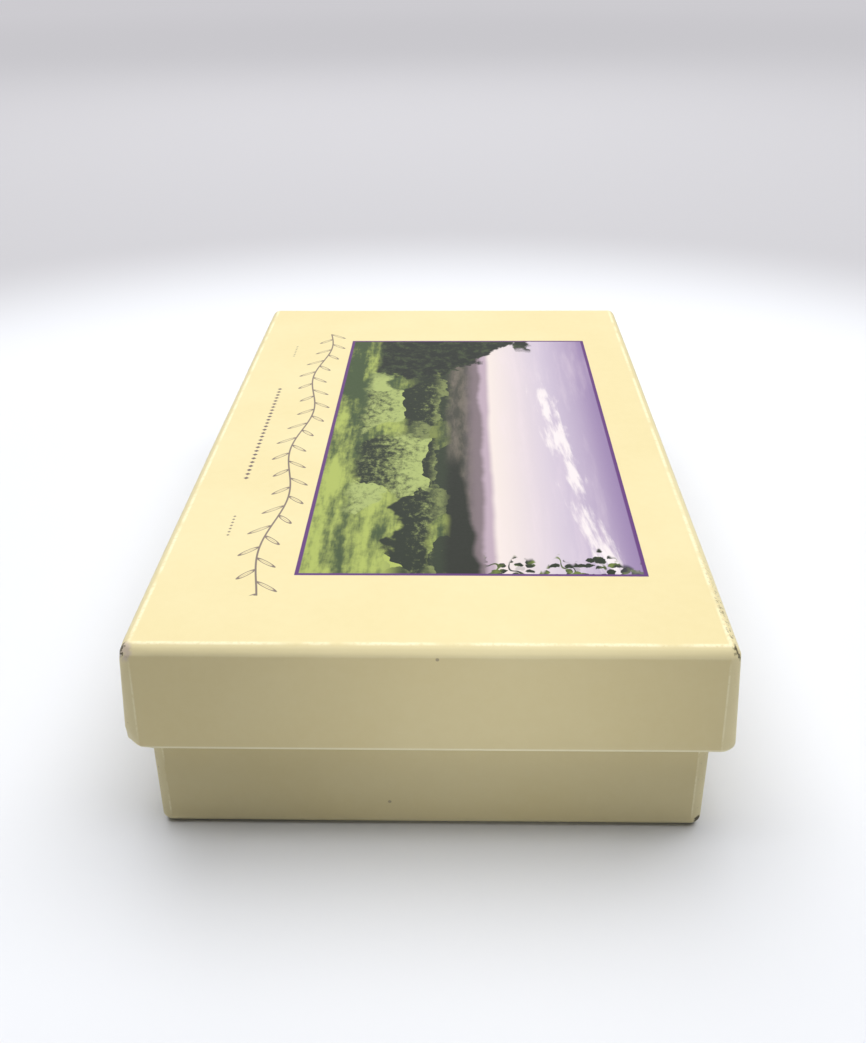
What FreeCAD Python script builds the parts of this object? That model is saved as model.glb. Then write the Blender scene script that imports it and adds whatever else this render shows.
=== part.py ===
"""A rigid two-piece gift box of three bar soaps: a lid that lifts off a base tray, each a board shell
wrapped in paper, with a folded card partition and three banded soap bars inside.

Frame: +X across the box, +Y along its length towards the far end, +Z up; the origin is the middle of
the underside. Both trays are built open side up with their closed face at z = 0, and the lid is then
turned over.
"""
import FreeCAD, Part
import math
import os

import Sketcher

Vector = FreeCAD.Vector

# Driving dimensions in millimetres: alias, value, meaning.
SIZES = (
    ("lid_length", 183.0, "lid outside, along Y, at its closed face"),
    ("lid_width", 100.0, "lid outside, along X, at its closed face"),
    ("lid_depth", 19.3, "lid outside, closed face to open edge"),
    ("box_height", 38.5, "closed box, underside to lid top"),
    ("board", 1.5, "greyboard"),
    ("paper", 0.15, "wrap paper and band paper"),
    ("glue", 0.1, "glue film, as thick as the corner tape in it"),
    ("liner", 0.12, "lining sheet glued inside each tray"),
    ("liner_margin", 0.8, "lining sheet short of the wall, each side"),
    ("lid_gap", 0.3, "lid wall clear of the base rim, each side"),
    ("lid_flare", 1.0, "lid wall leans out at its open edge"),
    ("base_flare", 0.45, "base wall leans out at its open edge"),
    ("fold_radius", 1.6, "outside radius of the folded edges"),
    ("corner_radius", 1.8, "outside radius of the upright corners"),
    ("lid_turn_in", 12.0, "wrap turned in over the lid's open edge"),
    ("base_turn_in", 15.0, "wrap turned in over the base rim"),
    ("tape_leg", 11.0, "corner tape, reach round each side of a corner"),
    ("tape_start", 2.4, "corner tape starts clear of the folded edge"),
    ("card", 0.5, "partition card"),
    ("card_gap", 0.25, "partition card clear of the walls, each side"),
    ("rib_gap", 0.3, "between the two layers of a partition rib"),
    ("rib_height", 22.0, "partition rib above the card's floor"),
    ("flap_height", 16.0, "partition end flap above the card's floor"),
    ("soap_side_gap", 0.6, "banded bar clear of its cell, each side"),
    ("soap_end_gap", 2.0, "bar clear of the long walls, each end"),
    ("soap_headroom", 2.8, "banded bar clear of the lid's lining"),
    ("soap_edge", 6.0, "radius of the bar's top and bottom edges"),
    ("soap_corner", 10.0, "radius of the bar's upright corners"),
    ("panel_margin", 8.5, "sunk panel in from the bar's outline"),
    ("panel_depth", 0.8, "sunk panel"),
    ("panel_corner", 4.0, "radius of the sunk panel's corners"),
    ("band_width", 34.0, "paper band round each bar"),
    ("band_gap", 0.05, "band clear of the bar"),
)
SHEET = "Sizes"
BARS = 3
LEVEL_TOLERANCE = 1e-3
CUT_OVERRUN = 1.0

# Sums of cells that several pieces share: X first, then Y, where a size has two.
FLOOR = "(Sizes.paper + Sizes.glue + Sizes.board)"
STACK = "(2 * Sizes.paper + 2 * Sizes.glue + Sizes.board)"
SIDES = ("Sizes.lid_width", "Sizes.lid_length")
BASE_DEPTH = f"(Sizes.box_height - {FLOOR} - Sizes.liner)"
BASE_HALVES = tuple(f"({side} / 2 - {STACK} - Sizes.lid_gap - Sizes.base_flare)" for side in SIDES)
INNER_HALVES = tuple(f"({half} - {FLOOR})" for half in BASE_HALVES)
CARD_HALVES = tuple(f"({half} - Sizes.card_gap)" for half in INNER_HALVES)
CARD_UNDER = f"({FLOOR} + Sizes.liner)"
RIB = "(2 * Sizes.card + Sizes.rib_gap)"
CELL = f"((2 * {CARD_HALVES[1]} - 2 * Sizes.card - {BARS - 1} * {RIB}) / {BARS})"
PITCH = f"({CELL} + {RIB})"
BAND_SKIN = "(Sizes.paper + Sizes.band_gap)"
SOAP_HALVES = (
    f"({INNER_HALVES[0]} - Sizes.soap_end_gap)",
    f"({CELL} / 2 - Sizes.soap_side_gap - {BAND_SKIN})",
)
SOAP_UNDER = f"({CARD_UNDER} + Sizes.card + {BAND_SKIN})"
SOAP_TOP = f"({BASE_DEPTH} - Sizes.soap_headroom - {BAND_SKIN})"
SOAP_THICK = f"({SOAP_TOP} - {SOAP_UNDER})"


def make_sheet(doc):
    """The spreadsheet that every size is read from."""
    cells = doc.addObject("Spreadsheet::Sheet", SHEET)
    for row, (alias, value, meaning) in enumerate(SIZES, start=1):
        cells.set(f"A{row}", alias)
        cells.set(f"B{row}", str(value))
        cells.set(f"C{row}", meaning)
        cells.setAlias(f"B{row}", alias)
    doc.recompute()


def value_of(doc, expression):
    """What an expression of the sheet's cells comes to, in millimetres."""
    return float(doc.getObject(SHEET).evalExpression(expression))


def make_body(doc, label):
    body = doc.addObject("PartDesign::Body", label)
    body.Label = label
    return body


def place_geometry(sketch, half_x, half_y, radius, middle):
    """Draws a rectangle, corner by corner from the right of its lower side, with arcs if it has a radius."""
    corners = [(1, -1), (1, 1), (-1, 1), (-1, -1)]
    centres = [middle + Vector(x * (half_x - radius), y * (half_y - radius), 0) for x, y in corners]
    outward = [Vector(0, -1, 0), Vector(1, 0, 0), Vector(0, 1, 0), Vector(-1, 0, 0)]
    for side in range(4):
        start = centres[side - 1] + outward[side] * radius
        end = centres[side] + outward[side] * radius
        sketch.addGeometry(Part.LineSegment(start, end), False)
    if not radius:
        for side in range(4):
            sketch.addConstraint(Sketcher.Constraint("Coincident", side, 2, (side + 1) % 4, 1))
        return
    for side in range(4):
        circle = Part.Circle(centres[side], Vector(0, 0, 1), radius)
        arc = Part.ArcOfCircle(circle, math.radians(90 * (side - 1)), math.radians(90 * side))
        index = sketch.addGeometry(arc, False)
        sketch.addConstraint(Sketcher.Constraint("Tangent", side, 2, index, 1))
        sketch.addConstraint(Sketcher.Constraint("Tangent", index, 2, (side + 1) % 4, 1))
        if side:
            sketch.addConstraint(Sketcher.Constraint("Equal", 4, index))


def rectangle(body, name, halves, lift="0", role="XY_Plane", middle=("0", "0"), radius=None):
    """A rectangle about a middle point on one of the body's origin planes, raised by lift."""
    doc = body.Document
    sketch = body.newObject("Sketcher::SketchObject", f"{body.Name}_{name}")
    plane = next(f for f in body.Origin.OriginFeatures if f.Role == role)
    sketch.AttachmentSupport = [(plane, "")]
    sketch.MapMode = "FlatFace"
    half_x, half_y = (value_of(doc, half) for half in halves)
    centre = Vector(*(value_of(doc, part) for part in middle), 0)
    place_geometry(sketch, half_x, half_y, value_of(doc, radius) if radius else 0.0, centre)
    for line, kind in enumerate(("Horizontal", "Vertical", "Horizontal", "Vertical")):
        sketch.addConstraint(Sketcher.Constraint(kind, line))
    limits = (
        ("low", "DistanceY", 0, centre.y - half_y, f"{middle[1]} - {halves[1]}"),
        ("right", "DistanceX", 1, centre.x + half_x, f"{middle[0]} + {halves[0]}"),
        ("high", "DistanceY", 2, centre.y + half_y, f"{middle[1]} + {halves[1]}"),
        ("left", "DistanceX", 3, centre.x - half_x, f"{middle[0]} - {halves[0]}"),
    )
    for label, kind, line, start, expression in limits:
        index = sketch.addConstraint(Sketcher.Constraint(kind, -1, 1, line, 1, start))
        sketch.renameConstraint(index, label)
        sketch.setExpression(f"Constraints.{label}", expression)
    if radius:
        index = sketch.addConstraint(Sketcher.Constraint("Radius", 4, value_of(doc, radius)))
        sketch.renameConstraint(index, "corner")
        sketch.setExpression("Constraints.corner", radius)
    sketch.setExpression("AttachmentOffset.Base.z", lift)
    doc.recompute()
    return sketch


def extrude(body, kind, sketch, length, taper=None, upwards=True, both_ways=False):
    """A Pad or Pocket of a sketch. Upwards is along the sketch's normal."""
    before = body.Shape.Volume if kind == "Pocket" else 0.0
    feature = body.newObject(f"PartDesign::{kind}", f"{sketch.Name}_{kind.lower()}")
    feature.Profile = sketch
    feature.setExpression("Length", length)
    if both_ways:
        feature.SideType = "Symmetric"
    # A Pad runs along the normal by itself, and a Pocket against it.
    feature.Reversed = upwards == (kind == "Pocket")
    if taper:
        feature.setExpression("TaperAngle", taper)
    body.Document.recompute()
    if kind == "Pocket" and not body.Shape.Volume < before:
        raise RuntimeError(f"{feature.Name} cuts nothing")


def round_level_edges(body, height, radius):
    """Rounds the tip's edges that lie at one height."""
    tip = body.Tip
    level = value_of(body.Document, height)
    chosen = []
    for number, edge in enumerate(tip.Shape.Edges, start=1):
        if all(abs(vertex.Z - level) < LEVEL_TOLERANCE for vertex in edge.Vertexes):
            chosen.append(f"Edge{number}")
    feature = body.newObject("PartDesign::Fillet", f"{tip.Name}_round")
    feature.Base = (tip, chosen)
    feature.setExpression("Radius", radius)
    body.Document.recompute()


def combine(doc, kind, label, base, tool):
    """A Part::Cut, Part::Common or Part::Fuse of two objects."""
    result = doc.addObject(kind, label)
    result.Label = label
    result.Base = base
    result.Tool = tool
    doc.recompute()
    return result


class Tray:
    """One rigid tray in its own frame: closed face at z = 0, open edge at z = depth, walls leaning out."""

    def __init__(self, doc, prefix, halves, flare, depth, turn_in, placement):
        self.doc = doc
        self.prefix = prefix
        self.halves = halves
        self.flare = flare
        self.depth = depth
        self.turn_in = turn_in
        self.turn, self.lift = placement
        self.lean = f"atan({flare} / {depth})"

    def outline(self, body, name, inset, height, rounded=False):
        """The tray's outline at a height, inset from its outside."""
        out = f"{self.flare} * ({height}) / {self.depth} - ({inset})"
        halves = tuple(f"({half} + {out})" for half in self.halves)
        radius = f"(Sizes.corner_radius + {out})" if rounded else None
        return rectangle(body, name, halves, height, radius=radius)

    def form(self, body, inset, top):
        """A solid tray form inset from the outside, its folded edges and corners rounded."""
        sketch = self.outline(body, "form", inset, inset, rounded=True)
        extrude(body, "Pad", sketch, f"{top} - {inset}", taper=self.lean)
        round_level_edges(body, inset, f"Sizes.fold_radius - {inset}")
        return body

    def hollow(self, body, inset, floor, top):
        """Cuts the sharp-cornered inside of the tray down to a floor, its walls parallel to the outside."""
        sketch = self.outline(body, "hollow", inset, top)
        extrude(body, "Pocket", sketch, f"{top} - {floor}", taper=f"-{self.lean}", upwards=False)

    def skin(self, name, outside, inside, top):
        """A layer that follows the outside of the tray, between two insets."""
        outer = self.form(make_body(self.doc, f"{self.prefix}_{name}_outside"), outside, top)
        inner = self.form(make_body(self.doc, f"{self.prefix}_{name}_inside"), inside, top)
        return combine(self.doc, "Part::Cut", f"{self.prefix}_{name}", outer, inner)

    def settle(self, piece):
        """Gives a finished piece the tray's own placement."""
        piece.Placement = FreeCAD.Placement(Vector(), FreeCAD.Rotation(Vector(1, 0, 0), self.turn))
        if self.lift:
            piece.setExpression("Placement.Base.z", self.lift)
        return piece

    def board(self):
        """The greyboard shell."""
        cover = "(Sizes.paper + Sizes.glue)"
        top = f"({self.depth} - {cover})"
        body = self.form(make_body(self.doc, f"{self.prefix}_board"), cover, top)
        self.hollow(body, FLOOR, FLOOR, top)
        return self.settle(body)

    def wrap(self):
        """The paper: over the outside, round the open edge and up the inside of the walls."""
        outside = self.skin("skin", "0", "Sizes.paper", self.depth)
        body = make_body(self.doc, f"{self.prefix}_turn_in")
        hem = self.outline(body, "hem", "Sizes.paper / 2", f"({self.depth} - Sizes.paper)", rounded=True)
        extrude(body, "Pad", hem, "Sizes.paper", taper=self.lean)
        start = f"({self.depth} - {self.turn_in})"
        turned = self.outline(body, "turned", f"({STACK} - Sizes.paper)", start)
        extrude(body, "Pad", turned, f"{self.turn_in} - Sizes.paper / 2", taper=self.lean)
        self.hollow(body, STACK, start, self.depth)
        return self.settle(combine(self.doc, "Part::Fuse", f"{self.prefix}_wrap", outside, body))

    def lining(self):
        """The sheet glued on the inside of the closed face."""
        body = make_body(self.doc, f"{self.prefix}_liner")
        sheet = self.outline(body, "sheet", f"({FLOOR} + Sizes.liner_margin)", FLOOR)
        extrude(body, "Pad", sheet, "Sizes.liner")
        return self.settle(body)

    def tapes(self):
        """Four strips of tape that hold the board's corners together."""
        top = f"({self.depth} - Sizes.paper - Sizes.glue)"
        layer = self.skin("tape_layer", "Sizes.paper", "(Sizes.paper + Sizes.glue)", top)
        made = []
        for x_side, x_name in ((-1, "left"), (1, "right")):
            for y_side in (-1, 1):
                # A tray that is turned over swaps its two ends.
                at_front = (y_side < 0) == (self.turn == 0)
                label = f"{self.prefix}_tape_{'front' if at_front else 'back'}_{x_name}"
                corner = self.doc.addObject("Part::Box", f"{label}_corner")
                corner.setExpression("Length", f"Sizes.tape_leg + {self.flare}")
                corner.setExpression("Width", f"Sizes.tape_leg + {self.flare}")
                corner.setExpression("Height", f"{self.depth} - Sizes.tape_start")
                corner.setExpression("Placement.Base.z", "Sizes.tape_start")
                for axis, side, half in (("x", x_side, self.halves[0]), ("y", y_side, self.halves[1])):
                    start = f"{half} - Sizes.tape_leg" if side > 0 else f"-{half} - {self.flare}"
                    corner.setExpression(f"Placement.Base.{axis}", start)
                made.append(self.settle(combine(self.doc, "Part::Common", label, layer, corner)))
        return made

    def pieces(self):
        return [self.board(), self.wrap(), self.lining(), *self.tapes()]


def partition_card(doc):
    """One card strip: a floor, an upright pinched rib between each two bars, and a flap at each end."""
    body = make_body(doc, "partition_card")
    half_x, half_y = CARD_HALVES
    floor = rectangle(body, "floor", (half_x, half_y), CARD_UNDER)
    extrude(body, "Pad", floor, "Sizes.card")
    for side, end in ((-1, "front"), (1, "back")):
        middle = ("0", f"({side} * {PITCH} / 2)")
        rib = rectangle(body, f"{end}_rib", (half_x, f"({RIB} / 2)"), CARD_UNDER, middle=middle)
        extrude(body, "Pad", rib, "Sizes.rib_height + Sizes.card")
        slit_halves = (f"({half_x} + {CUT_OVERRUN})", "(Sizes.rib_gap / 2)")
        slit = rectangle(body, f"{end}_slit", slit_halves, CARD_UNDER, middle=middle)
        extrude(body, "Pocket", slit, "Sizes.rib_height")
        middle = ("0", f"({side} * ({half_y} - Sizes.card / 2))")
        flap = rectangle(body, f"{end}_flap", (half_x, "(Sizes.card / 2)"), CARD_UNDER, middle=middle)
        extrude(body, "Pad", flap, "Sizes.flap_height + Sizes.card")
    return body


def soap_bar(doc, number):
    """A milled bar with round edges and a panel sunk into its top and its underside."""
    body = make_body(doc, f"soap_bar_{number}")
    outline = rectangle(body, "outline", SOAP_HALVES, radius="Sizes.soap_corner")
    extrude(body, "Pad", outline, SOAP_THICK)
    for height in ("0", SOAP_THICK):
        round_level_edges(body, height, "Sizes.soap_edge")
    panel_halves = tuple(f"({half} - Sizes.panel_margin)" for half in SOAP_HALVES)
    for name, height, upwards in (("top", SOAP_THICK, False), ("under", "0", True)):
        panel = rectangle(body, f"{name}_panel", panel_halves, height, radius="Sizes.panel_corner")
        extrude(body, "Pocket", panel, "Sizes.panel_depth", upwards=upwards)
    return body


def soap_band(doc, number):
    """The paper band round the middle of a bar."""
    body = make_body(doc, f"soap_band_{number}")
    middle = f"({SOAP_THICK} / 2)"
    for name, kind, skin, width in (
        ("outer", "Pad", BAND_SKIN, "Sizes.band_width"),
        ("inner", "Pocket", "Sizes.band_gap", f"Sizes.band_width + {CUT_OVERRUN}"),
    ):
        halves = (f"({SOAP_HALVES[1]} + {skin})", f"({middle} + {skin})")
        radius = f"(Sizes.soap_edge + {skin})"
        sketch = rectangle(body, name, halves, role="YZ_Plane", middle=("0", middle), radius=radius)
        extrude(body, kind, sketch, width, both_ways=True)
    return body


def contents(doc):
    """The partition and the banded bars, each bar in the middle of its cell."""
    made = [partition_card(doc)]
    for number in range(1, BARS + 1):
        for piece in (soap_bar(doc, number), soap_band(doc, number)):
            piece.setExpression("Placement.Base.y", f"({number} - {(BARS + 1) / 2}) * {PITCH}")
            piece.setExpression("Placement.Base.z", SOAP_UNDER)
            made.append(piece)
    return made


def check_and_write(doc, pieces):
    """Stops on anything that failed, then writes one STEP file a piece."""
    doc.recompute()
    for item in doc.Objects:
        if {"Invalid", "Error"} & set(item.State):
            raise RuntimeError(f"{item.Label} failed: {item.State}")
    for piece in pieces:
        if piece.Shape.isNull() or not piece.Shape.isValid() or not piece.Shape.Solids:
            raise RuntimeError(f"{piece.Label} has no sound solid")
    os.makedirs("parts", exist_ok=True)
    for piece in pieces:
        piece.Shape.exportStep(os.path.join("parts", f"{piece.Label}.step"))


def main():
    doc = FreeCAD.newDocument("SoapGiftBox")
    make_sheet(doc)
    base = Tray(doc, "base", BASE_HALVES, "Sizes.base_flare", BASE_DEPTH, "Sizes.base_turn_in", (0, None))
    lid_halves = tuple(f"({side} / 2)" for side in SIDES)
    lid_place = (180, "Sizes.box_height")
    lid = Tray(doc, "lid", lid_halves, "Sizes.lid_flare", "Sizes.lid_depth", "Sizes.lid_turn_in", lid_place)
    check_and_write(doc, [*base.pieces(), *contents(doc), *lid.pieces()])


main()
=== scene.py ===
"""The looks of a rigid gift box of bar soaps: a paper-wrapped lid, printed with a framed landscape,
over a plain base tray that holds three banded bars. Lengths are in metres, in the frame of the model;
patterns on surfaces are worked out in millimetres of the same frame.
"""

import math

import bmesh
import bpy
from mathutils import Matrix, Vector, noise


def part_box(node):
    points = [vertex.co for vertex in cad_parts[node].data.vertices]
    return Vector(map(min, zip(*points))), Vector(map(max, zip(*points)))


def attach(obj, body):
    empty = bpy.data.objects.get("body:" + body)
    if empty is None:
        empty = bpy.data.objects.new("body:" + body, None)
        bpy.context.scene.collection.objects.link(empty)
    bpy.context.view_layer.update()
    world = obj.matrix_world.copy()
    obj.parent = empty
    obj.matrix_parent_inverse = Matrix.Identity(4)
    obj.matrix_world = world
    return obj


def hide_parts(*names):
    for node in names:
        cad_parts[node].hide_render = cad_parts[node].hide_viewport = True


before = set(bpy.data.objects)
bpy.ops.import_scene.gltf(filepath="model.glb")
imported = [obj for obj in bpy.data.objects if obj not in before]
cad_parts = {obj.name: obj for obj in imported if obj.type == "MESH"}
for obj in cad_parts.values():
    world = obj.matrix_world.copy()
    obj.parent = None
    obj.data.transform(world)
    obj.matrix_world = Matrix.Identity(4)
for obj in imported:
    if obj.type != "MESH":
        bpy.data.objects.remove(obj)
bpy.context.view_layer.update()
MM = 0.001

# Sizes of the trays, as in the model.
PAPER = 0.15 * MM
STACK = 2.0 * MM
FOLD_RADIUS = 1.6 * MM
CORNER_RADIUS = 1.8 * MM
LID_FLARE = 1.0 * MM
BASE_FLARE = 0.45 * MM
LID_TURN_IN = 12 * MM
BASE_TURN_IN = 15 * MM
HEM_RADIUS = 0.35 * MM

LID_LOW, LID_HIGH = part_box("lid_wrap")
BASE_LOW, BASE_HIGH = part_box("base_wrap")
BARS = 3
SOAP_BOXES = [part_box(f"soap_bar_{number}") for number in range(1, BARS + 1)]
SOAP_PITCH = (SOAP_BOXES[1][0].y + SOAP_BOXES[1][1].y - SOAP_BOXES[0][0].y - SOAP_BOXES[0][1].y) / 2


# ---------------------------------------------------------------------------------------------------
# Fields: numbers and colours over a surface, made of shader nodes


def plug(tree, socket, value):
    """Feeds a node's input from a field, or sets it to a constant."""
    if isinstance(value, Field):
        tree.links.new(value.socket, socket)
    elif isinstance(value, tuple) and len(value) == 3 and socket.type == "RGBA":
        socket.default_value = (*value, 1.0)
    else:
        socket.default_value = value


class Field:
    """A value that varies over a surface. Arithmetic on fields makes the nodes that work it out."""

    def __init__(self, tree, socket):
        self.tree = tree
        self.socket = socket

    def math(self, operation, *others):
        node = self.tree.nodes.new("ShaderNodeMath")
        node.operation = operation
        for socket, value in zip(node.inputs, (self, *others)):
            plug(self.tree, socket, value)
        return Field(self.tree, node.outputs[0])

    def __add__(self, other):
        return self.math("ADD", other)

    def __sub__(self, other):
        return self.math("SUBTRACT", other)

    def __mul__(self, other):
        return self.math("MULTIPLY", other)

    def __truediv__(self, other):
        return self.math("DIVIDE", other)

    def __neg__(self):
        return self * -1.0

    __radd__ = __add__

    def __rsub__(self, other):
        return -self + other

    def low(self, other):
        return self.math("MINIMUM", other)

    def high(self, other):
        return self.math("MAXIMUM", other)

    def size(self):
        return self.math("ABSOLUTE")

    def step(self, start, end):
        """0 at start and 1 at end, smooth between."""
        node = self.tree.nodes.new("ShaderNodeMapRange")
        node.interpolation_type = "SMOOTHSTEP"
        plug(self.tree, node.inputs["Value"], self)
        node.inputs["From Min"].default_value = start
        node.inputs["From Max"].default_value = end
        return Field(self.tree, node.outputs["Result"])

    def within(self, limit, soft):
        """1 where the value's size is under limit, and 0 beyond a soft edge."""
        return self.size().step(limit + soft, limit)


class Finish:
    """A material being made: its coordinates in millimetres, and calls that add nodes to it."""

    def __init__(self, name):
        self.material = bpy.data.materials.new(name)
        self.material.use_nodes = True
        self.tree = self.material.node_tree
        self.shader = self.tree.nodes["Principled BSDF"]
        place = self.tree.nodes.new("ShaderNodeTexCoord")
        scaled = self.tree.nodes.new("ShaderNodeVectorMath")
        scaled.operation = "SCALE"
        scaled.inputs["Scale"].default_value = 1 / MM
        self.tree.links.new(place.outputs["Object"], scaled.inputs[0])
        split = self.tree.nodes.new("ShaderNodeSeparateXYZ")
        self.tree.links.new(scaled.outputs[0], split.inputs[0])
        self.x, self.y, self.z = (Field(self.tree, split.outputs[axis]) for axis in "XYZ")

    def vector(self, x, y, z=0.0):
        node = self.tree.nodes.new("ShaderNodeCombineXYZ")
        for socket, value in zip(node.inputs, (x, y, z)):
            plug(self.tree, socket, value)
        return Field(self.tree, node.outputs[0])

    def place(self):
        return self.vector(self.x, self.y, self.z)

    def noise(self, scale, detail=3.0, rough=0.5, at=None):
        """Smooth noise about 0.5, with scale in cycles a millimetre."""
        node = self.tree.nodes.new("ShaderNodeTexNoise")
        plug(self.tree, node.inputs["Vector"], at or self.place())
        node.inputs["Scale"].default_value = scale
        node.inputs["Detail"].default_value = detail
        node.inputs["Roughness"].default_value = rough
        return Field(self.tree, node.outputs["Fac"])

    def cells(self, at, scale, jitter=1.0):
        """Voronoi cells: the distance to the nearest point, that point's height, and a tone of its own."""
        node = self.tree.nodes.new("ShaderNodeTexVoronoi")
        node.voronoi_dimensions = "2D"
        plug(self.tree, node.inputs["Vector"], at)
        node.inputs["Scale"].default_value = scale
        node.inputs["Randomness"].default_value = jitter
        split = self.tree.nodes.new("ShaderNodeSeparateXYZ")
        self.tree.links.new(node.outputs["Position"], split.inputs[0])
        tone = self.tree.nodes.new("ShaderNodeSeparateColor")
        self.tree.links.new(node.outputs["Color"], tone.inputs[0])
        return (
            Field(self.tree, node.outputs["Distance"]),
            Field(self.tree, split.outputs["Y"]),
            Field(self.tree, tone.outputs["Red"]),
        )

    def mix(self, share, first, second):
        """A colour between first and second."""
        node = self.tree.nodes.new("ShaderNodeMix")
        node.data_type = "RGBA"
        plug(self.tree, node.inputs["Factor"], share)
        sockets = [s for s in node.inputs if s.type == "RGBA"]
        plug(self.tree, sockets[0], first)
        plug(self.tree, sockets[1], second)
        return Field(self.tree, next(s for s in node.outputs if s.type == "RGBA"))

    def colour(self, value):
        plug(self.tree, self.shader.inputs["Base Color"], value)

    def rough(self, value):
        plug(self.tree, self.shader.inputs["Roughness"], value)

    def bump(self, height, depth):
        """Relief from a field of 0 to 1 that stands for depth in millimetres."""
        node = self.tree.nodes.new("ShaderNodeBump")
        node.inputs["Distance"].default_value = depth * MM
        plug(self.tree, node.inputs["Height"], height)
        self.tree.links.new(node.outputs[0], self.shader.inputs["Normal"])

    def set(self, **constants):
        for name, value in constants.items():
            self.shader.inputs[name.replace("_", " ")].default_value = value
        return self.material


# ---------------------------------------------------------------------------------------------------
# Colours, linear

CREAM = (0.700, 0.602, 0.328)
# CREAM_PALE is also the painted highlight on the fold and the rounded upright corners of both wraps.
CREAM_PALE = (0.765, 0.688, 0.425)
# The pale paper core of rubbed creases, also used as the painted highlight along the hem.
PAPER_CORE_AND_HIGHLIGHT = (0.86, 0.80, 0.56)
GREYBOARD = (0.27, 0.22, 0.165)
GRIME = (0.10, 0.085, 0.05)
PLUM = (0.105, 0.035, 0.16)
INK = (0.07, 0.04, 0.08)
BARE_DARK = (0.24, 0.18, 0.13)
BARE_PALE = (0.62, 0.52, 0.42)
LEAF_DARK = (0.014, 0.022, 0.010)
LEAF_LIT = (0.13, 0.18, 0.035)
BACKDROP = (0.61, 0.60, 0.63)
AMBIENT = (0.96, 0.96, 1.0)


# ---------------------------------------------------------------------------------------------------
# Paper of the lid and the base

# How much darker the base's paper is than the lid's: partly a darker sheet, partly painted shade.
BASE_TONE_AND_SHADE = 0.91
WRAP_RELIEF = 0.05
WRAP_SPECULAR = 0.14


def tray_edges(finish, low, high, flare, closed_up):
    """Masks on a wrapped tray: its folded edge, its upright corners and its open edge."""
    top, bottom = high.z / MM, low.z / MM
    depth = top - bottom
    rise = (top - finish.z) if closed_up else (finish.z - bottom)
    out = rise * (flare / MM / depth)
    past_x = finish.x.size() - out - (high.x - flare) / MM
    past_y = finish.y.size() - out - (high.y - flare) / MM
    from_corner = past_x.low(past_y)
    fold = FOLD_RADIUS / MM
    lower = (rise - fold).within(0.05, 0.30)
    upper = (past_x.high(past_y) + fold).within(0.12, 0.45) * rise.step(0.5, 0.1)
    into_corner = from_corner + CORNER_RADIUS / MM + out
    upright = into_corner.within(0.04, 0.20) * rise.step(fold, fold * 2)
    # The fold and the rounded upright corners: painted highlight, paler where they face the light.
    strip = into_corner.step(-0.05, 0.25) + rise.step(fold + 0.1, fold - 0.2) * rise.step(0.1, 0.4)
    # The line along the hem: partly a rubbed paper core, partly a painted highlight.
    hem = rise.step(depth - 0.62, depth - 0.36)
    return from_corner, lower, upper, upright, strip.low(1.0), hem


def worn_paper_and_highlights(finish, base, low, high, flare, closed_up):
    """Laid paper colour, rubbed pale in patches along its creases, with the scuffs of handling, a painted
    highlight that makes the fold and the rounded upright corners paler, and a pale line along the hem that
    is partly rubbed paper core and partly painted highlight.
    """
    edges = tray_edges(finish, low, high, flare, closed_up)
    from_corner, lower, upper, upright, strip, hem = edges
    patch = finish.noise(0.16, 3.0)
    fleck = finish.noise(1.4, 4.0, 0.65)
    # Patchy rubs along the creases are wear; the hem line added to them is partly painted highlight.
    rub_and_hem_highlight = (upper * 0.8 + lower * 0.10 + upright * 0.7) * patch.step(0.30, 0.56)
    rub_and_hem_highlight = rub_and_hem_highlight * fleck.step(0.26, 0.56) + hem
    # Painted highlight: the fold and the rounded upright corners painted paler.
    colour = finish.mix(strip * 0.5, base, CREAM_PALE)
    colour = finish.mix(rub_and_hem_highlight.low(1.0), colour, PAPER_CORE_AND_HIGHLIGHT)
    chafe = (from_corner + 0.4).within(0.5, 1.2) * finish.noise(2.2, 3.0, 0.7).step(0.63, 0.72)
    colour = finish.mix(chafe * 0.6, colour, GREYBOARD)
    return colour, fleck


def paper_relief(finish):
    """Fibres and the faint unevenness of glued paper, of 0 to 1."""
    fibre = finish.noise(3.5, 3.0, 0.6)
    pucker = finish.noise(0.22, 2.0)
    return fibre * 0.12 + pucker * 0.88


def cream_base(finish, depth=1.0):
    """Laid cream paper with a faint mottle; a depth below 1 darkens it."""
    tone = finish.noise(0.035, 2.0)
    mottle = finish.noise(0.5, 4.0, 0.6)
    share = tone.step(0.3, 0.7) * 0.55 + mottle.step(0.35, 0.7) * 0.2
    dark = tuple(depth * value for value in CREAM)
    light = tuple(depth * 0.5 * (a + b) for a, b in zip(CREAM, CREAM_PALE))
    return finish.mix(share, dark, light)


# The lid's print: a runs to the picture's right and b up it, in millimetres from its lower left corner.
PICTURE_LEFT = 0.162
PICTURE_RIGHT = 0.129
PICTURE_ABOVE = 0.117
PICTURE_BELOW = 0.257
BORDER = 0.75

# A printed leaf, in millimetres: its half width, half length, and its centre's distance from the stem.
LEAF_HALF_WIDTH = 0.62
LEAF_HALF_LENGTH = 1.55
LEAF_CENTRE = 1.75

# Ornament under the picture, in millimetres: how far below it, then where it starts along it.
SCROLL_BELOW, SCROLL_START, SCROLL_PAST = 6.4, -6.0, 7.0
ROW_BELOW, ROW_START, ROW_COUNT, ROW_SPACING, ROW_RADIUS = 15.0, 36.0, 27, 2.0, 0.58
SMALL_COUNT, SMALL_SPACING, SMALL_RADIUS = 7, 1.3, 0.34
RIGHT_BELOW, RIGHT_START = 14.4, 106.0
LEFT_BELOW, LEFT_START = 14.6, 4.0


def picture_frame(finish):
    """The picture's own coordinates, in millimetres, and its size."""
    length = (LID_HIGH.y - LID_LOW.y - 2 * LID_FLARE) / MM
    width = (LID_HIGH.x - LID_LOW.x - 2 * LID_FLARE) / MM
    wide = length * (1 - PICTURE_LEFT - PICTURE_RIGHT)
    tall = width * (1 - PICTURE_ABOVE - PICTURE_BELOW)
    along = length / 2 - length * PICTURE_LEFT - finish.y
    up = finish.x + width / 2 - width * PICTURE_BELOW
    return along, up, wide, tall


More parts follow.
